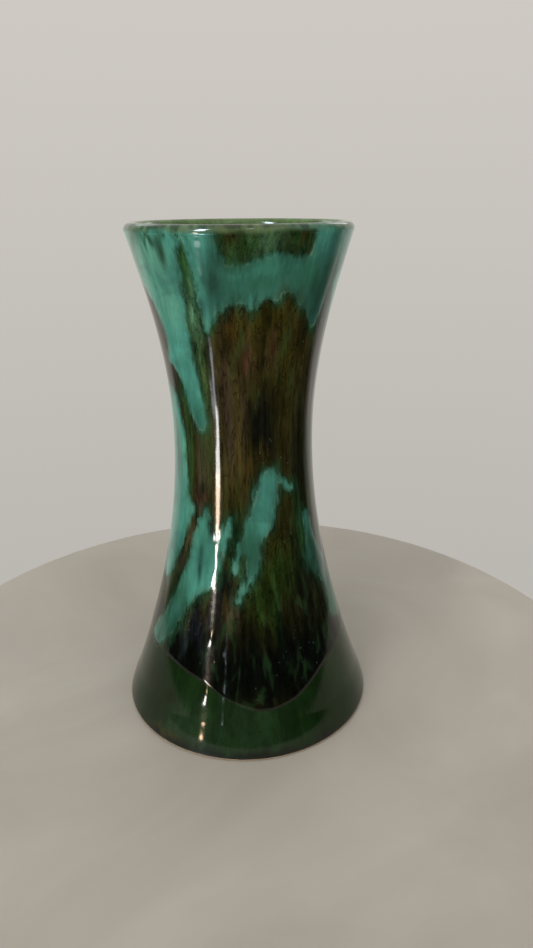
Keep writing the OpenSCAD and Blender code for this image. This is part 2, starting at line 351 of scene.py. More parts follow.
def groundGroup():   # the dark poured glaze: its tone, broken by runs and mottle, with a few pale spots that are painted glints
    tree, given, result = newTree("pouredGround", "ShaderNodeTree",
                                  [("Tone", "Color", None), ("Vector", "Vector", None)], [("Color", "Color")])
    runs = put(tree, "ShaderNodeGroup", {"Vector": given["Vector"]}, node_tree=glazeRuns).outputs
    light = calc(tree, "MULTIPLY_ADD", runs["Fine Runs"], 0.7, 0.62)
    light = calc(tree, "MULTIPLY", light, calc(tree, "MULTIPLY_ADD", runs["Broad Runs"], 0.9, 0.5))
    light = calc(tree, "MULTIPLY", light, calc(tree, "MULTIPLY_ADD", runs["Mottle"], 0.7, 0.63))
    down = put(tree, "ShaderNodeMapping", {"Vector": given["Vector"], "Scale": (1, 1, 0.11)}).outputs[0]
    vein = put(tree, "ShaderNodeTexNoise", {"Vector": down, "Scale": 520.0, "Detail": 3.0,
                                            "Distortion": 0.5}).outputs[0]
    # thin dark veins where the noise crosses this level
    vein = calc(tree, "ABSOLUTE", calc(tree, "SUBTRACT", vein, 0.48))
    light = calc(tree, "MULTIPLY", light, span(tree, vein, 0.0, 0.03, 0.35, 1.1))
    lit = dimmed(tree, given["Tone"], light)
    green = calc(tree, "MULTIPLY", calc(tree, "SUBTRACT", runs["Broad Runs"], 0.62, clamp=True), 0.9)
    lit = mixColour(tree, green, lit, (0.02, 0.06, 0.02, 1))
    # a few pale spots: painted glints, standing in for light off tiny blisters
    specks = put(tree, "ShaderNodeTexVoronoi",
                 {"Vector": given["Vector"], "Scale": 320.0}).outputs["Distance"]
    rare = put(tree, "ShaderNodeTexNoise", {"Vector": given["Vector"], "Scale": 60.0,
                                            "Detail": 1.0}).outputs[0]
    paintedGlint = calc(tree, "MULTIPLY", span(tree, specks, 0.16, 0.04, 0.0, 0.22),
                 span(tree, rare, 0.56, 0.64))
    lit = mixColour(tree, paintedGlint, lit, (0.12, 0.22, 0.16, 1))
    tree.links.new(lit, result[0])
    return tree


def skinGroup():   # the fired surface: slow swell, fine ripple, a few pinholes
    tree, given, result = newTree("glazeSkin", "ShaderNodeTree", [
        ("Vector", "Vector", None), ("Swell", "Float", 1.0), ("Ripple", "Float", 1.0),
        ("Gloss", "Float", 0.09)],
        [("Normal", "Vector"), ("Roughness", "Float")])
    swell = put(tree, "ShaderNodeTexNoise", {"Vector": given["Vector"], "Scale": 110.0,
                                             "Detail": 2.0}).outputs[0]
    ripple = put(tree, "ShaderNodeTexNoise", {"Vector": given["Vector"], "Scale": 620.0,
                                              "Detail": 2.0}).outputs[0]
    pits = put(tree, "ShaderNodeTexVoronoi", {"Vector": given["Vector"], "Scale": 150.0}).outputs["Distance"]
    pit = span(tree, pits, 0.0, 0.07, -1.2, 0.0)
    height = calc(tree, "MULTIPLY_ADD", swell, calc(tree, "MULTIPLY", given["Swell"], 4.0), pit)
    height = calc(tree, "MULTIPLY_ADD", ripple, calc(tree, "MULTIPLY", given["Ripple"], 0.3), height)
    bump = put(tree, "ShaderNodeBump", {"Strength": 0.5, "Distance": 0.00003, "Height": height}).outputs[0]
    tree.links.new(bump, result[0])
    tree.links.new(calc(tree, "MULTIPLY_ADD", ripple, 0.07, given["Gloss"]), result[1])
    return tree


# the opaque turquoise over the dark glaze: clouded, streaked, thinning out at its ragged edge
def opaqueGroup():
    tree, given, result = newTree("opaqueRun", "ShaderNodeTree", [
        ("Tone", "Color", None), ("Under", "Color", None), ("Depth", "Float", 0.0),
        ("Vector", "Vector", None)], [("Color", "Color")])
    runs = put(tree, "ShaderNodeGroup", {"Vector": given["Vector"], "Fine": 800.0, "Broad": 140.0},
               node_tree=glazeRuns).outputs
    light = calc(tree, "MULTIPLY_ADD", runs["Broad Runs"], 0.30, 0.80)
    light = calc(tree, "MULTIPLY", light, calc(tree, "MULTIPLY_ADD", runs["Fine Runs"], 0.22, 0.89))
    light = calc(tree, "MULTIPLY", light, calc(tree, "MULTIPLY_ADD", runs["Mottle"], 0.24, 0.88))
    body = dimmed(tree, given["Tone"], light)
    cloud = put(tree, "ShaderNodeTexNoise", {"Vector": given["Vector"], "Scale": 70.0, "Detail": 4.0,
                                             "Distortion": 0.6}).outputs[0]
    shadow = span(tree, cloud, 0.46, 0.7, 0.0, 0.6, smooth=True)
    body = mixColour(tree, shadow, body, (0.03, 0.115, 0.095, 1))
    ground = put(tree, "ShaderNodeGroup", {"Tone": given["Under"], "Vector": given["Vector"]},
                 node_tree=pouredGround).outputs[0]
    fray = put(tree, "ShaderNodeTexNoise", {"Vector": given["Vector"], "Scale": 900.0, "Detail": 4.0,
                                            "Roughness": 0.6}).outputs[0]
    ragged = calc(tree, "MULTIPLY_ADD", calc(tree, "SUBTRACT", fray, 0.5), 1.1, given["Depth"])
    ragged = calc(tree, "MULTIPLY_ADD", calc(tree, "SUBTRACT", runs["Fine Runs"], 0.5), 1.5, ragged)
    crisp = span(tree, ragged, -1.2, 1.3, smooth=True)
    spread = calc(tree, "MULTIPLY_ADD", calc(tree, "SUBTRACT", runs["Broad Runs"], 0.5), 3.0, ragged)
    veil = span(tree, spread, -1.6, 3.6, smooth=True)
    mask = calc(tree, "MULTIPLY_ADD", veil, 0.55, calc(tree, "MULTIPLY", crisp, 0.45))
    edge = span(tree, ragged, -0.1, 0.35)
    inner = span(tree, ragged, 0.35, 1.0, 1.0, 0.0)
    outline = calc(tree, "MULTIPLY", calc(tree, "MULTIPLY", edge, inner),
                   calc(tree, "MULTIPLY", calc(tree, "SUBTRACT", runs["Mottle"], 0.42, clamp=True), 1.3))
    body = mixColour(tree, outline, body, (0.22, 0.4, 0.29, 1))
    tree.links.new(mixColour(tree, mask, ground, body), result[0])
    return tree


glazeRuns = runsGroup()
pouredGround = groundGroup()
glazeSkin = skinGroup()
opaqueRun = opaqueGroup()


def newMaterial(name, roughness=0.1, specular=0.5):
    material = bpy.data.materials.new(name)
    material.use_nodes = True
    tree = material.node_tree
    tree.nodes.clear()
    shader = put(tree, "ShaderNodeBsdfPrincipled", {
        "Roughness": roughness, "IOR": 1.5, "Specular IOR Level": specular})
    put(tree, "ShaderNodeOutputMaterial", {"Surface": shader.outputs[0]})
    place = put(tree, "ShaderNodeTexCoord").outputs["Object"]
    return material, tree, shader, place


def finishGlaze(tree, shader, place, colour, gloss=0.05, swell=1.0, ripple=1.0):
    skin = put(tree, "ShaderNodeGroup", {"Vector": place, "Swell": swell, "Ripple": ripple, "Gloss": gloss},
               node_tree=glazeSkin).outputs
    tree.links.new(colour, shader.inputs["Base Color"])
    tree.links.new(skin["Normal"], shader.inputs["Normal"])
    tree.links.new(skin["Roughness"], shader.inputs["Roughness"])


def pouredMaterial():
    material, tree, shader, place = newMaterial("pouredDarkGlaze")
    tone = wallField(tree, "tone")
    ground = put(tree, "ShaderNodeGroup", {"Tone": tone, "Vector": place}, node_tree=pouredGround).outputs[0]
    finishGlaze(tree, shader, place, ground, swell=0.6)
    return material


def turquoiseMaterial():
    material, tree, shader, place = newMaterial("turquoiseGlaze")
    tone, under = wallField(tree, "tone"), wallField(tree, "under")
    depth = wallField(tree, "depth", "Fac")
    colour = put(tree, "ShaderNodeGroup", {"Tone": tone, "Under": under, "Depth": depth, "Vector": place},
                 node_tree=opaqueRun).outputs[0]
    finishGlaze(tree, shader, place, colour, gloss=0.05, swell=0.6)
    return material


def greenMaterial(name, gloss, carriesRuns=False):
    material, tree, shader, place = newMaterial(name)
    tone = wallField(tree, "glaze")
    runs = put(tree, "ShaderNodeGroup", {"Vector": place, "Fine": 600.0, "Broad": 160.0},
               node_tree=glazeRuns).outputs
    light = calc(tree, "MULTIPLY_ADD", runs["Fine Runs"], 0.4, 0.75)
    light = calc(tree, "MULTIPLY", light, calc(tree, "MULTIPLY_ADD", runs["Broad Runs"], 0.5, 0.7))
    colour = dimmed(tree, tone, light)
    if carriesRuns:   # the lip shows the curtains above the poured glaze's upper edge
        over, under = wallField(tree, "tone"), wallField(tree, "under")
        depth, carry = wallField(tree, "depth", "Fac"), wallField(tree, "carry", "Fac")
        run = put(tree, "ShaderNodeGroup", {"Tone": over, "Under": under, "Depth": depth, "Vector": place},
                  node_tree=opaqueRun).outputs[0]
        colour = mixColour(tree, carry, colour, run)
    finishGlaze(tree, shader, place, colour, gloss=gloss, swell=0.3)
    return material


def clayMaterial():
    material, tree, shader, place = newMaterial("firedClay", roughness=0.85, specular=0.2)
    cloud = put(tree, "ShaderNodeTexNoise", {"Vector": place, "Scale": 90.0, "Detail": 6.0,
                                             "Roughness": 0.65}).outputs[0]
    grog = put(tree, "ShaderNodeTexVoronoi", {"Vector": place, "Scale": 1400.0}).outputs["Distance"]
    ramp = mixColour(tree, cloud, (0.36, 0.26, 0.18, 1), (0.50, 0.40, 0.29, 1))
    speck = span(tree, grog, 0.12, 0.3, 0.5, 0.0)
    colour = mixColour(tree, speck, ramp, (0.11, 0.05, 0.03, 1))
    grain = put(tree, "ShaderNodeTexNoise", {"Vector": place, "Scale": 2200.0, "Detail": 3.0}).outputs[0]
    bump = put(tree, "ShaderNodeBump", {"Strength": 0.6, "Distance": 0.0001, "Height": grain}).outputs[0]
    tree.links.new(colour, shader.inputs["Base Color"])
    tree.links.new(bump, shader.inputs["Normal"])
    tree.links.new(span(tree, cloud, 0.0, 1.0, 0.72, 0.95), shader.inputs["Roughness"])
    return material


# rows run round a closed section; each row may differ by azimuth
def turnedCoat(heights, offsets, columns):
    rows = len(heights)
    azimuth = np.tile(np.arange(columns) * 360 / columns, rows)
    points = np.stack([azimuth, np.concatenate(heights), np.concatenate(offsets)], 1)
    i, j = np.meshgrid(np.arange(rows), np.arange(columns), indexing="ij")
    nextI, nextJ = (i + 1) % rows, (j + 1) % columns
    faces = np.stack([i * columns + j, i * columns + nextJ, nextI * columns + nextJ, nextI * columns + j],
                     -1).reshape(-1, 4)
    return points, faces


pouredCoat = {"columns": 360, "thickness": 0.26, "feather": 0.015, "fade": 12, "bead": 0.13, "beadWidth": 1.6,
              "hem": 28, "rowStep": 0.82,
              "drops": [(-21.6, 46, 1.5, 0.09), (-15.5, 40, 1.6, 0.06), (-12, 34, 2.0, 0.06)]}


def drops(azimuth, z, spots):   # small rounded swellings: [azimuth, height, radius, rise]
    rise = 0.0
    for where, level, radius, high in spots:
        across = ((azimuth - where + 180) % 360 - 180) * np.radians(skinRadius(z))
        rise = rise + high * np.exp(-(across ** 2 + 0.5 * (z - level) ** 2) / radius ** 2)
    return rise


def hemHeight(azimuth):
    a = np.radians(azimuth)
    swag = 5 * np.cos(2 * (a - math.radians(10))) + 2.5 * np.cos(3 * (a - math.radians(8)))
    line = pouredCoat["hem"] - swag + 1.5 * np.cos(5 * (a + math.radians(24)))
    return (line + 0.5 * softNoise(azimuth, azimuth * 0, 9, 50, 21)
            + 0.2 * softNoise(azimuth, azimuth * 0, 3, 50, 22))


def pourThickness(azimuth, z):
    p = pouredCoat
    above = z - hemHeight(azimuth)
    rolled = smoothStep(-0.3, 1, above / p["beadWidth"]) * np.clip(above / 0.15, 0, 1)
    swell = np.exp(-(np.clip(above - p["beadWidth"], 0, None) / 24) ** 2)
    body = p["thickness"] * np.clip((pourTop - z) / p["fade"], 0, 1)
    runs = 0.03 * softNoise(azimuth, z, 5.0, 34, 23) + 0.012 * softNoise(azimuth, z, 2.0, 16, 24)
    full = np.maximum(p["feather"], body + runs * smoothStep(0, 25, pourTop - z))
    return rolled * (full + (p["bead"] - p["thickness"]) * swell) + drops(azimuth, z, p["drops"])


def groundTone(azimuth, z):   # the dark glaze, tinted where it lies close to the turquoise
    tone = paint(azimuth, z, "umber", groundStrokes)
    for outline in turquoisePatches.values():
        p = np.array(outline, float)
        turn = (azimuth - p[:, 0].mean() + 180) % 360 - 180 + p[:, 0].mean()
        near = ((turn > p[:, 0].min() - 9) & (turn < p[:, 0].max() + 9)
                & (z > p[:, 1].min() - 7) & (z < p[:, 1].max() + 7))
        close = smoothStep(-4.5, 0.5, raggedDepth(turn[near], z[near], outline)
                           + 1.4 * softNoise(turn[near], z[near], 2.4, 9, 57))
        tone[near] += (tones["halo"] - tone[near]) * 0.75 * close[:, None]
    return tone


def makePouredCoat(material):
    p = pouredCoat
    azimuth = np.arange(p["columns"]) * 360 / p["columns"]
    hem = hemHeight(azimuth)
    near = [0, 0.05, 0.16, 0.34, 0.6, 0.95, 1.35, 1.8, 2.4, 3.1]
    count = int((pourTop - p["hem"]) / p["rowStep"])
    heights = [hem + d for d in near] + [hem + 3.1 + (pourTop - hem - 3.1) * k / count
                                         for k in range(1, count + 1)]
    offsets = [pourThickness(azimuth, z) - (0.05 if d == 0 else 0)
               for z, d in zip(heights, near + [1] * count)]
    heights.append(np.full_like(hem, pourTop + 0.2))
    offsets.append(np.full_like(hem, -0.02))
    for k in list(np.linspace(0, 0.14, 12)) + list(np.linspace(0.2, 0.985, 12)):
        heights.append(pourTop - (pourTop - hem) * k)
        offsets.append(np.full_like(hem, -0.05))
    points, faces = turnedCoat(heights, offsets, p["columns"])
    tone = groundTone(points[:, 0], points[:, 1])
    piece = rollOnWall("pouredGlazeCoat", points, faces, {"tone": tone}, material)
    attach(piece, "root")
    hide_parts("poured_glaze")
    return piece


baseCoat = {"columns": 360, "start": 1.0, "footBead": 0.3, "footBeadHeight": 12.0,
            "drops": [(-21.5, 24.5, 2.5, 0.22), (-12.5, 18, 1.8, 0.06)]}


def lipArc(radius, start, end, steps):   # height and offset of points round the lip's section
    centre = float(skinRadius(lipHeight)) - glaze - wall / 2
    angles = np.radians(np.linspace(start, end, steps))
    z = lipHeight + radius * np.sin(angles)
    return list(zip(z, centre + radius * np.cos(angles) - skinRadius(z)))


def makeBaseCoat(material):
    b, gap = baseCoat, baseCoat["start"]
    section = [(gap, -glaze), (gap + 0.02, -0.25), (gap + 0.12, -0.1)]
    for z in (list(np.arange(gap + 0.3, 42, 0.82)) + list(np.linspace(46, 176, 16))
              + list(np.linspace(180, lipHeight, 24))):
        up = (z - gap) / b["footBeadHeight"]
        section.append((z, b["footBead"] * math.sin(math.pi * min(1, max(0, up)) ** 0.75) ** 1.2))
    section += lipArc(lipRound, 4, 90, 14) + lipArc(wall / 2, 90, 0, 7)
    section += [(z, -glaze) for z in np.linspace(lipHeight - 8, 8, 14)]
    ones = np.ones(b["columns"])
    points, faces = turnedCoat([z * ones for z, _ in section], [o * ones for _, o in section], b["columns"])
    outer = points[:, 2] > -0.1
    points[outer, 2] += drops(points[outer, 0], points[outer, 1], b["drops"])
    a, z = points[:, 0], points[:, 1]
    fields = {"glaze": paint(a, z, "bottle", lipStrokes, drag=0.25), "tone": np.zeros((len(a), 3)),
              "under": np.zeros((len(a), 3)), "depth": np.full(len(a), -9.0), "carry": np.zeros(len(a))}
    high = z > 150   # the lip carries the curtains' colours on over its round
    a, z = a[high], z[high]
    level = np.minimum(z, pourTop)
    for outline in list(turquoisePatches.values())[:4]:
        middle = np.mean(outline, 0)[0]
        turn = (a - middle + 180) % 360 - 180 + middle
        fields["depth"][high] = np.maximum(fields["depth"][high], raggedDepth(turn, level, outline))
    fields["tone"][high] = paint(a, level, "turquoise", turquoiseStrokes, drag=0.6)
    fields["under"][high] = groundTone(a, level)
    fields["carry"][high] = 1 - 0.85 * smoothStep(196.8, 198.8, z + 0.7 * softNoise(a, z, 6, 3, 62))
    piece = rollOnWall("baseGlazeCoat", points, faces, fields, material)
    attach(piece, "root")
    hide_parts("base_glaze")
    return piece


insideCoat = {"columns": 240, "rowStep": 1.5}


def makeInsideCoat(material):
    v, step = vaseShape, insideCoat["rowStep"]
    lean = math.atan(float(skinRadius(5) - skinRadius(25)) / 20)
    filletHigh = v["floor"] + v["floorRound"]
    filletTop = filletHigh + v["floorRound"] * math.sin(lean)
    filletRadius = float(skinRadius(filletTop)) - glaze - wall - v["floorRound"] * math.cos(lean)

    def skin(inset, count):   # from the lip's crest down to the middle of the floor
        line = lipArc(wall / 2 + inset, 90, 180, 12)
        line += [(z, -glaze - wall - inset) for z in np.linspace(lipHeight - 2, filletTop, count)]
        turn = np.linspace(lean, -math.pi / 2, 10)
        reach = v["floorRound"] - inset
        arc = [(filletHigh + reach * math.sin(t), filletRadius + reach * math.cos(t)) for t in turn]
        arc += [(v["floor"] + inset, r) for r in np.linspace(filletRadius, 0, 14)[1:]]
        return line + [(z, r - float(skinRadius(z))) for z, r in arc]
    section = skin(glaze, int((lipHeight - filletTop) / step)) + skin(0, 30)[::-1]
    ones = np.ones(insideCoat["columns"])
    points, faces = turnedCoat([z * ones for z, _ in section], [o * ones for _, o in section],
                               insideCoat["columns"])
    # the inside keeps its green near the rim and is painted darker lower down: painted shade in the hollow
    strokes = [(0, 205, 1e4, 16, "insideGreen", 0.9), (160, 192, 40, 9, "insideGreen", 0.8),
               (190, 180, 22, 14, "lipGreen", 0.4)]
    strokes += [(0, 200, 1e4, 1.5, "lipGreen", 0.5)]
    tone = paint(points[:, 0], points[:, 1], "insideDepthShade", strokes, drag=0.5)
    piece = rollOnWall("insideGlazeCoat", points, faces, {"glaze": tone}, material)
    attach(piece, "root")
    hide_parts("lining_glaze")
    return piece


# The turquoise: each piece's outline as [azimuth, height]; a curtain's top lies on the lip
turquoisePatches = {
    "left_curtain": [
        [-84, 204], [-80, 185], [-70, 179], [-65, 176], [-60, 171], [-57, 166], [-56, 160], [-61, 153],
        [-56, 151.5], [-51, 149], [-47, 143], [-43, 137], [-38, 131], [-34, 128], [-29, 130], [-29, 138],
        [-32, 147], [-33, 160], [-32, 176], [-31, 188], [-32, 204]],
    "front_curtain": [
        [-26, 204], [-25, 190], [-23, 178], [-21, 166], [-17, 169], [-13, 172], [-8, 174.5], [-2, 175.5],
        [3, 174.5], [6, 172.5], [10, 175], [15, 177], [20, 175.5], [25, 178], [31, 176], [37, 173],
        [42, 170], [48, 165], [54, 169], [58, 180], [58.5, 204], [38, 204], [36, 192], [30, 189.5],
        [22, 190.5], [14, 191], [6, 188.5], [-3, 188], [-9, 190], [-13, 204]],
    "right_curtain": [
        [59, 204], [60, 188], [64, 176], [70, 168], [75, 158], [79, 144], [83, 128], [87, 121], [91, 126],
        [93, 138], [95, 154], [101, 165], [107, 168], [113, 172], [118, 184], [117, 204]],
    "back_curtain": [
        [127, 204], [129, 184], [134, 173], [140, 171], [149, 173], [154, 166], [158, 152], [162, 137],
        [167, 130], [171, 135], [174, 149], [179, 166], [185, 172], [193, 172], [198, 167], [204, 168],
        [212, 176], [222, 180], [227, 188], [226, 204]],
    "left_run": [
        [-92, 139], [-80, 142], [-68, 142.5], [-61, 141.5], [-57, 136], [-53.5, 126], [-52, 115],
        [-50, 105], [-46, 99], [-43, 96], [-46, 91], [-49, 87], [-53, 80], [-58, 73], [-64, 66],
        [-74, 61], [-86, 64], [-94, 76], [-98, 100], [-97, 126]],
    "left_fork": [
        [-37, 92], [-33, 94], [-31, 97], [-29, 94], [-26, 90], [-23, 85.5], [-20, 87], [-17, 90],
        [-14, 93], [-10.5, 95], [-11, 90], [-13, 85], [-16, 80], [-18, 75], [-20, 69], [-23, 66],
        [-27, 65], [-32, 63], [-37, 60], [-42, 54], [-47, 47], [-53, 40], [-60, 35.5], [-68, 33.5],
        [-74, 35.5], [-70, 41], [-63, 47], [-58, 54], [-53, 61], [-49, 68], [-45, 75], [-41, 84]],
    "centre_splash": [
        [-9, 75], [-7, 80], [-4, 84], [-1, 89], [2, 94], [5, 99], [8, 104], [11, 109.5], [15, 113],
        [19, 113.5], [24, 113.5], [28, 111], [33, 108.5], [38, 106], [41, 104], [36, 103], [32, 104.5],
        [28, 106.5], [26, 102], [23, 97], [19, 91], [15, 86.5], [11, 82], [10, 77], [8, 73], [4, 70],
        [0, 66], [-4, 61.5], [-6.5, 62], [-4, 67], [-1, 71], [0.5, 76], [-1, 80.5], [-4, 78], [-6, 72.5]],
    "right_run": [
        [48, 77], [51, 84], [50, 90], [55, 92.5], [59, 88], [62, 80], [68, 74], [76, 66], [83, 58],
        [85, 46], [79, 39], [69, 41], [63, 47], [65, 55], [61, 61], [54, 66], [48, 71]],
    "right_back_run": [
        [106, 118], [109, 123], [113, 124], [118, 120], [122, 113], [124, 99], [128, 89], [132, 79],
        [134, 66], [128, 55], [122, 58], [118, 66], [114, 77], [107, 92], [104, 106]],
    "back_splash": [
        [150, 96], [156, 101], [163, 105], [171, 112], [177, 111], [182, 105], [184, 97], [181, 90],
        [176, 84], [170, 76], [165, 66], [160, 59], [152, 52], [146, 54], [144, 63], [147, 78], [147, 88]],
    "back_fork": [
        [204, 118], [208, 127], [213, 132], [220, 134], [225, 129], [228, 118], [229, 106], [233, 97],
        [237, 88], [241, 70], [235, 58], [229, 60], [225, 68], [220, 82], [213, 90], [208, 104]],
}
turquoise = {"step": 0.46, "thickness": 0.08, "skirt": 2.2, "rag": 0.6, "fineRag": 0.35, "roundness": 4}


def roundedOutline(outline):   # a closed smooth curve through the outline's points
    p = np.array(outline, float)
    before, after, later = np.roll(p, 1, 0), np.roll(p, -1, 0), np.roll(p, -2, 0)
    curve = []
    for k in range(turquoise["roundness"]):
        t = k / turquoise["roundness"]
        curve.append(0.5 * (2 * p + (after - before) * t + (2 * before - 5 * p + 4 * after - later) * t ** 2
                            + (3 * p - before - 3 * after + later) * t ** 3))
    return np.stack(curve, 1).reshape(-1, 2)


def depthInside(azimuth, z, outline):   # millimetres from the outline's edge, above zero inside it
    curve = roundedOutline(outline)
    scale = np.radians(skinRadius(z))
    nearest, crossings = np.full(azimuth.shape, 1e9), np.zeros(azimuth.shape, int)
    for (a0, z0), (a1, z1) in zip(curve, np.roll(curve, -1, 0)):
        x0, y0, dx, dy = (a0 - azimuth) * scale, z0 - z, (a1 - a0) * scale, z1 - z0
        t = np.clip(-(x0 * dx + y0 * dy) / (dx * dx + dy * dy + 1e-9), 0, 1)
        nearest = np.minimum(nearest, np.hypot(x0 + t * dx, y0 + t * dy))
        if z0 != z1:
            spans = (z0 > z) != (z1 > z)
            crossings += spans & (azimuth < a0 + (z - z0) / (z1 - z0) * (a1 - a0))
    return np.where(crossings % 2 == 1, nearest, -nearest)


def raggedDepth(azimuth, z, outline):
    rag = (turquoise["rag"] * softNoise(azimuth, z, 7, 5, 51)
           + turquoise["fineRag"] * softNoise(azimuth, z, 2.4, 2, 52))
    return depthInside(azimuth, z, outline) + rag


def makePatch(node, outline, material):
    t = turquoise
    p = np.array(outline, float)
    middle = float(skinRadius(p[:, 1].mean()))
    margin = 4.5
    low, high = p[:, 1].min() - margin, min(pourTop, p[:, 1].max() + margin)
    left, right = p[:, 0].min() - margin / math.radians(middle), p[:, 0].max() + margin / math.radians(middle)
    across = np.linspace(left, right, int(math.radians(right - left) * middle / t["step"]))
    up = np.linspace(low, high, int((high - low) / t["step"]))
    if high == pourTop:
        up = np.append(up, [pourTop + 0.3, pourTop + 0.6, pourTop + 0.9, pourTop + 1.2])
    z, a = np.meshgrid(up, across, indexing="ij")
    depth = raggedDepth(a, z, outline)
    inside = depth > -t["skirt"]
    cells = inside[:-1, :-1] & inside[:-1, 1:] & inside[1:, :-1] & inside[1:, 1:]
    ids = np.arange(z.size).reshape(z.shape)
    faces = np.stack([ids[:-1, :-1], ids[:-1, 1:], ids[1:, 1:], ids[1:, :-1]], -1)[cells]
    edges = np.concatenate([faces[:, [k, (k + 1) % 4]] for k in range(4)])
    code, reverse = edges[:, 0] * z.size + edges[:, 1], edges[:, 1] * z.size + edges[:, 0]
    rim = edges[~np.isin(code, reverse)]
    azimuth, height, deep = a.ravel().copy(), z.ravel().copy(), depth.ravel().copy()
    slopeUp, slopeAcross = np.gradient(depth, up, across)   # the rim is drawn onto one smooth contour
    scale = math.radians(middle)
    steep = (slopeUp.ravel() ** 2 + (slopeAcross.ravel() / scale) ** 2) + 0.05
    edge = np.unique(rim)
    edge = edge[height[edge] < pourTop - 0.3]
    move = np.clip((-t["skirt"] - deep[edge]) / steep[edge], -0.7, 0.7)
    height[edge] += np.clip(move * slopeUp.ravel()[edge], -0.4, 0.4)
    azimuth[edge] += np.clip(move * slopeAcross.ravel()[edge] / scale ** 2, -0.4 / scale, 0.4 / scale)
    body = t["thickness"] * smoothStep(-t["skirt"] + 0.2, 2.4, deep) - 0.012
    roll = 0.012 * np.exp(-((deep - 1.6) / 1.4) ** 2)
    body -= 0.05 * (deep < -t["skirt"] + 0.3)
    fade = smoothStep(0, 3, pourTop - height)
    under = pourThickness(azimuth, np.minimum(height, pourTop))
    top = under + (body + roll) * fade + 0.012 * (1 - fade) * (deep > -1.2)
    top -= (top + 0.02) * smoothStep(pourTop, pourTop + 1.2, height)
    floor = under * 0.55
    keep, back = np.unique(faces, return_inverse=True)
    faces = back.reshape(faces.shape)
    place = np.full(z.size, -1)
    place[keep] = np.arange(len(keep))
    walls = np.stack([place[rim[:, 1]], place[rim[:, 0]],
                      place[rim[:, 0]] + len(keep), place[rim[:, 1]] + len(keep)], 1)
    points = np.concatenate([np.stack([azimuth[keep], height[keep], side[keep]], 1) for side in (top, floor)])
    faces = np.concatenate([faces, faces[:, ::-1] + len(keep), walls])
    fields = {"tone": paint(points[:, 0], points[:, 1], "turquoise", turquoiseStrokes, drag=0.6),
              "under": groundTone(points[:, 0], points[:, 1]), "depth": np.tile(deep[keep], 2)}
    first, *rest = node.split("_")
    piece = rollOnWall(first + "".join(word.capitalize() for word in rest) + "Glaze", points, faces, fields,
                       material)
    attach(piece, "root")
    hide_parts(node)
    return piece


poured = makePouredCoat(pouredMaterial())
base = makeBaseCoat(greenMaterial("footGreenGlaze", 0.05, carriesRuns=True))
inside = makeInsideCoat(greenMaterial("insideGreenGlaze", 0.08))
print("coats:", [(o.name, len(o.data.polygons)) for o in (poured, base, inside)])
patchGlaze = turquoiseMaterial()
patches = [makePatch(node, outline, patchGlaze) for node, outline in turquoisePatches.items()]
print("turquoise:", [(o.name, len(o.data.polygons)) for o in patches])
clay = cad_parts["clay_body"]
clay.data.materials.clear()
clay.data.materials.append(clayMaterial())

studio = {"tableRadius": 171, "tableThick": 20, "tableEdge": 3, "cameraBack": 269.8, "cameraHigh": 206.7,
          "turn": 1.96, "tilt": 21.33, "roll": -0.41, "lens": 26.58}


def makeTable():
    s, segments = studio, 256
    section = [(0, 0), (s["tableRadius"] - s["tableEdge"], 0)]
    section += [(s["tableRadius"] - s["tableEdge"] * (1 - math.sin(t)), -s["tableEdge"] * (1 - math.cos(t)))
                for t in np.linspace(0, math.pi / 2, 7)[1:]]
    section += [(s["tableRadius"], -s["tableThick"]), (0, -s["tableThick"])]
    points = [(r * math.sin(a) * mm, -r * math.cos(a) * mm, z * mm - 0.00005)
              for r, z in section[1:-1] for a in np.linspace(0, 2 * math.pi, segments, endpoint=False)]
    rows = len(section) - 2
    faces = [((i + 1) * segments + j, (i + 1) * segments + (j + 1) % segments,
              i * segments + (j + 1) % segments, i * segments + j)
             for i in range(rows - 1) for j in range(segments)]
    faces += [tuple(range(segments)), tuple(range(rows * segments - 1, (rows - 1) * segments - 1, -1))]
    mesh = bpy.data.meshes.new("tableTop")
    mesh.from_pydata(points, [], faces)
    table = bpy.data.objects.new("tableTop", mesh)
    scene.collection.objects.link(table)
    material, tree, shader, place = newMaterial("paleTable", roughness=0.38)
    cloud = put(tree, "ShaderNodeTexNoise", {"Vector": place, "Scale": 9.0, "Detail": 5.0,
                                             "Distortion": 1.2}).outputs[0]
    soft = span(tree, cloud, 0.3, 0.7)
    colour = mixColour(tree, soft, (0.30, 0.28, 0.245, 1), (0.38, 0.36, 0.32, 1))
    tree.links.new(colour, shader.inputs["Base Color"])
    mesh.materials.append(material)
    return table


def makeCamera():
    s = studio
    turn, tilt, roll = (math.radians(s[k]) for k in ("turn", "tilt", "roll"))
    ahead = Vector((math.sin(turn) * math.cos(tilt), math.cos(turn) * math.cos(tilt), -math.sin(tilt)))
    right = Vector((math.cos(turn), -math.sin(turn), 0))
    up = right.cross(ahead)
    right, up = right * math.cos(roll) + up * math.sin(roll), up * math.cos(roll) - right * math.sin(roll)
    data = bpy.data.cameras.new("camera")
    data.lens, data.sensor_width, data.clip_start = s["lens"], 36, 0.01
    camera = bpy.data.objects.new("camera", data)
    spot = Vector((0, -s["cameraBack"] * mm, s["cameraHigh"] * mm))
    camera.matrix_world = Matrix.Translation(spot) @ Matrix((right, up, -ahead)).transposed().to_4x4()
    scene.collection.objects.link(camera)
    scene.camera = camera
    return spot


# where the wall sends a look from the eye, at this azimuth and height
def mirrorAim(azimuth, z, eye, within=False):
    a, radius = math.radians(azimuth), float(skinRadius(z)) * mm
    slope = float(skinRadius(z + 0.5) - skinRadius(z - 0.5))
    out = Vector((math.sin(a), -math.cos(a), -slope)).normalized()
    if within:
        radius, out = radius - (wall + 2 * glaze) * mm, -out
    spot = Vector((radius * math.sin(a), -radius * math.cos(a), z * mm))
    look = (eye - spot).normalized()
    return spot, 2 * out.dot(look) * out - look


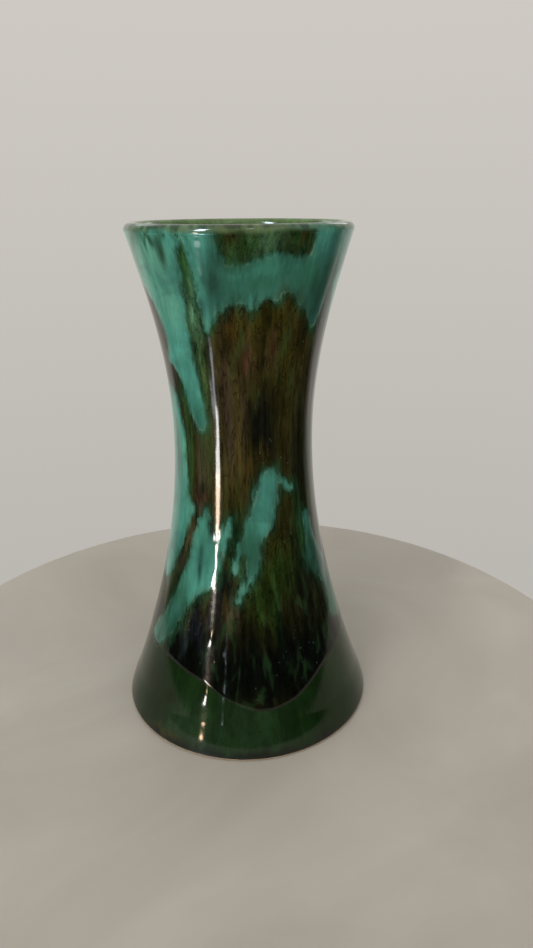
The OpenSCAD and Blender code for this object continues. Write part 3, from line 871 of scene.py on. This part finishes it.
# [azimuth, lower height, upper height on the wall, width as an angle, colour, brightness]
windowPanes = [
    (-20.2, 134, 161, 4.8, (0.8, 0.84, 0.87), 6), (-20.2, 108, 136, 4.2, (1, 0.98, 0.92), 20),
    (-21, 83, 109, 4.2, (1, 0.76, 0.56), 26), (-22, 70, 86, 4.2, (1, 0.97, 0.92), 45),
    (-21.5, 14, 46, 5.0, (0.95, 1, 0.98), 0.3), (-12.5, 24, 44, 1.6, (0.8, 0.9, 1), 5),
]
softLights = [   # [direction from the front, elevation, distance, size, watts, colour, seen in the glaze]
    (-38, 38, 1.3, 0.9, 9.4, (1, 0.97, 0.93), False), (60, 50, 1.5, 1.2, 5.0, (1, 0.98, 0.95), False),
    (-41, -6, 1.2, 0.055, 0.25, (1, 0.7, 0.45), True), (14, 55, 1.2, 0.12, 0.35, (0.85, 0.92, 1), True),
    (150, 30, 1.3, 0.35, 0.5, (1, 0.97, 0.93), True), (-150, 35, 1.3, 0.3, 0.35, (0.9, 0.95, 1), True),
]


def addLight(name, spot, aim, width, tall, watts, colour, inGlaze=True, onlyInGlaze=False, shape="RECTANGLE"):
    data = bpy.data.lights.new(name, "AREA")
    data.shape, data.size, data.size_y, data.energy, data.color = shape, width, tall, watts, colour
    lamp = bpy.data.objects.new(name, data)
    lamp.matrix_world = Matrix.Translation(spot) @ (spot - aim).to_track_quat("Z", "Y").to_matrix().to_4x4()
    lamp.visible_camera, lamp.visible_glossy, lamp.visible_diffuse = False, inGlaze, not onlyInGlaze
    scene.collection.objects.link(lamp)


def lightStudio(eye):
    paneFar, glintFar = 3.0, 1.1
    for k, (azimuth, low, high, wide, colour, bright) in enumerate(windowPanes):
        ends = []
        for z in (low, high):
            spot, aim = mirrorAim(azimuth, z, eye)
            ends.append(spot + aim * paneFar)
        centre, tall = (ends[0] + ends[1]) / 2, max(0.004, (ends[0] - ends[1]).length)
        width = math.radians(wide) * paneFar
        middle = Vector((0, 0, (low + high) / 2 * mm))
        addLight("windowPane%d" % k, centre, middle, width, tall, bright * math.pi * width * tall, colour)
    spot, aim = mirrorAim(161, 197, eye, within=True)
    addLight("farLipGlint", spot + aim * glintFar, spot, 0.16, 0.45, 9.0, (0.7, 0.85, 1), onlyInGlaze=True)
    for k, (around, rise, away, size, watts, colour, inGlaze) in enumerate(softLights):
        a, e = math.radians(around), math.radians(rise)
        spot = Vector((math.sin(a) * math.cos(e), -math.cos(a) * math.cos(e), math.sin(e))) * away
        addLight("softLight%d" % k, spot + Vector((0, 0, 0.1)), Vector((0, 0, 0.1)), size, size, watts,
                 colour, inGlaze, shape="ELLIPSE")
    world = bpy.data.worlds.new("room")
    scene.world = world
    world.use_nodes = True
    tree = world.node_tree
    tree.nodes.clear()
    way = put(tree, "ShaderNodeTexCoord").outputs["Generated"]
    axes = put(tree, "ShaderNodeSeparateXYZ", {0: way}).outputs
    flatLength = calc(tree, "SQRT", calc(tree, "MULTIPLY_ADD", axes[0], axes[0],
                                         calc(tree, "MULTIPLY", axes[1], axes[1])))
    # the pale wall lies behind
    behind = calc(tree, "DIVIDE", axes[1], calc(tree, "MAXIMUM", flatLength, 0.001))
    paleness = span(tree, behind, 0.4, 0.72, 0.018, 0.64, smooth=True)
    ceiling = span(tree, axes[2], 0.35, 0.8, 0.0, 0.4)
    level = span(tree, axes[2], -0.5, -0.12, 0.75, 1.15)
    inGlaze = calc(tree, "MAXIMUM", calc(tree, "MULTIPLY", paleness, level), ceiling)
    backdrop = span(tree, axes[2], -0.45, 0.25, 0.50, 0.62)
    ray = put(tree, "ShaderNodeLightPath").outputs
    strength = put(tree, "ShaderNodeMix", {0: ray["Is Glossy Ray"], 2: 0.62, 3: inGlaze}).outputs[0]
    strength = put(tree, "ShaderNodeMix", {0: ray["Is Camera Ray"], 2: strength, 3: backdrop}).outputs[0]
    shade = put(tree, "ShaderNodeBackground", {"Color": (1.0, 0.955, 0.89, 1), "Strength": strength})
    put(tree, "ShaderNodeOutputWorld", {"Surface": shade.outputs[0]})


makeTable()
lightStudio(makeCamera())
print("studio ready")
